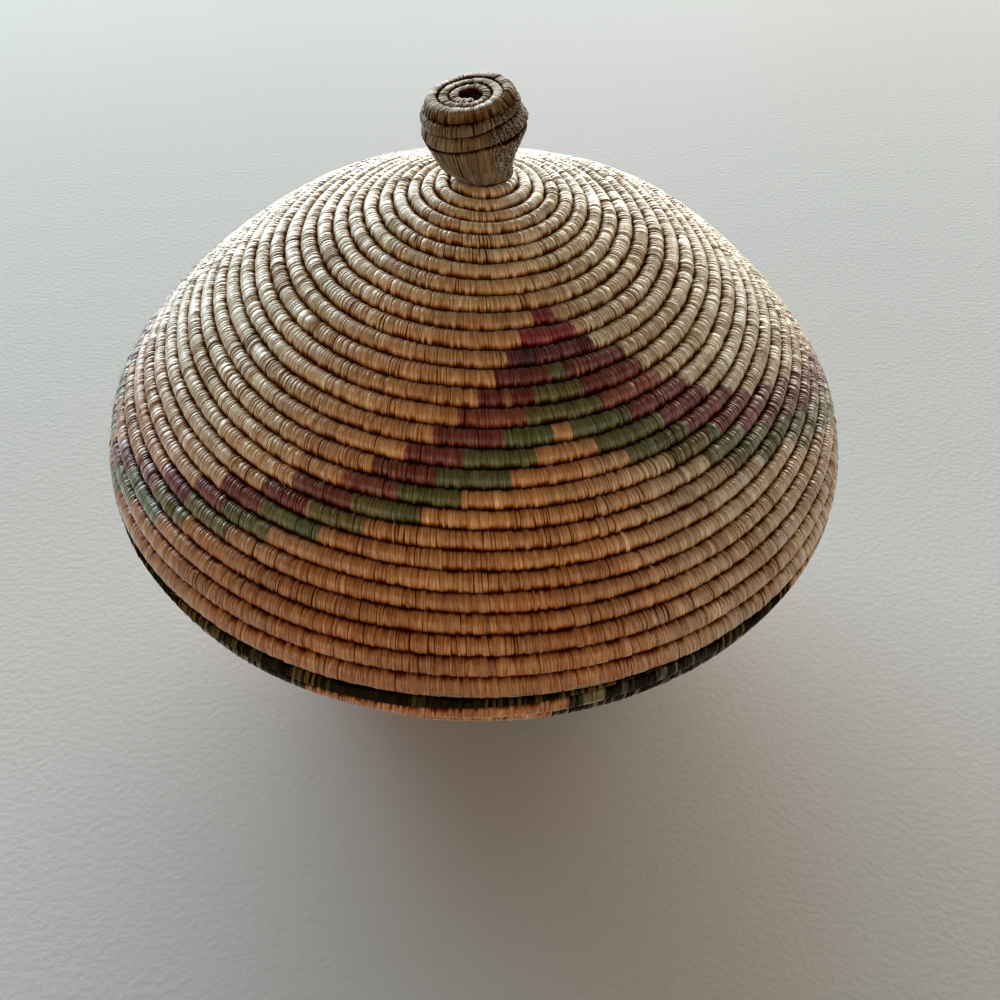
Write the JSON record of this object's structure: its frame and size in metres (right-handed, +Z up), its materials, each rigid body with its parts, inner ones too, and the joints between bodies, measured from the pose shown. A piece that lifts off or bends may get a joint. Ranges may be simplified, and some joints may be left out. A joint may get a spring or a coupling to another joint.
{
  "type": "lidded basket",
  "caption": "Round coiled basket with a wide conical lid and a small wrapped knob, raffia sewn over grass, stepped dyed chevrons, flat base.",
  "frame": {"origin": "centre of the flat base, on the surface that the basket stands on", "axes": "+Z up through the knob, -Y towards the side that faces the picture's camera, +X to that side's right"},
  "size_m": [0.2608, 0.2614, 0.2134],
  "materials": {
    "raffia_natural": "natural tan raffia strands wound close over a grass bundle, with a dry satin sheen and stepped bands dyed maroon and olive green",
    "raffia_dark_green": "raffia dyed very dark green, some strands yellow-green",
    "raffia_knob": "grey-tan handled raffia, wound tight",
    "grass_bundle": "dry straw-coloured grass stems"
  },
  "bodies": {
    "bowl": {"bowl_rim_round": "raffia_dark_green", "bowl_wall_coil_01": "raffia_natural", "bowl_wall_coil_02": "raffia_natural", "bowl_wall_coil_03": "raffia_natural", "bowl_wall_coil_04": "raffia_natural", "bowl_wall_coil_05": "raffia_natural", "bowl_wall_coil_06": "raffia_natural", "bowl_wall_coil_07": "raffia_natural", "bowl_base_edge_coil": "raffia_natural", "bowl_base_coil_outer": "raffia_natural", "bowl_base_coil_inner": "raffia_natural", "bowl_base_start": "raffia_natural", "bowl_collar_lower": "raffia_natural", "bowl_collar_upper": "raffia_natural"},
    "lid": {"lid_centre_round": "raffia_natural", "lid_coil_01_start": "raffia_natural", "lid_coil_02": "raffia_natural", "lid_coil_03": "raffia_natural", "lid_coil_04": "raffia_natural", "lid_coil_05": "raffia_natural", "lid_coil_06": "raffia_natural", "lid_coil_07": "raffia_natural", "lid_coil_08": "raffia_natural", "lid_coil_09": "raffia_natural", "lid_coil_10": "raffia_natural", "lid_coil_11_edge": "raffia_natural", "knob_core": "grass_bundle", "knob_stem_wrap": "raffia_knob", "knob_lower_round": "raffia_knob", "knob_upper_round": "raffia_knob", "knob_top_spiral": "raffia_knob"}
  },
  "joints": [
    {"name": "lid_lift", "type": "slide", "parent": "bowl", "child": "lid", "axis": [0, 0, 1], "range_m": [0, 0.15]}
  ]
}
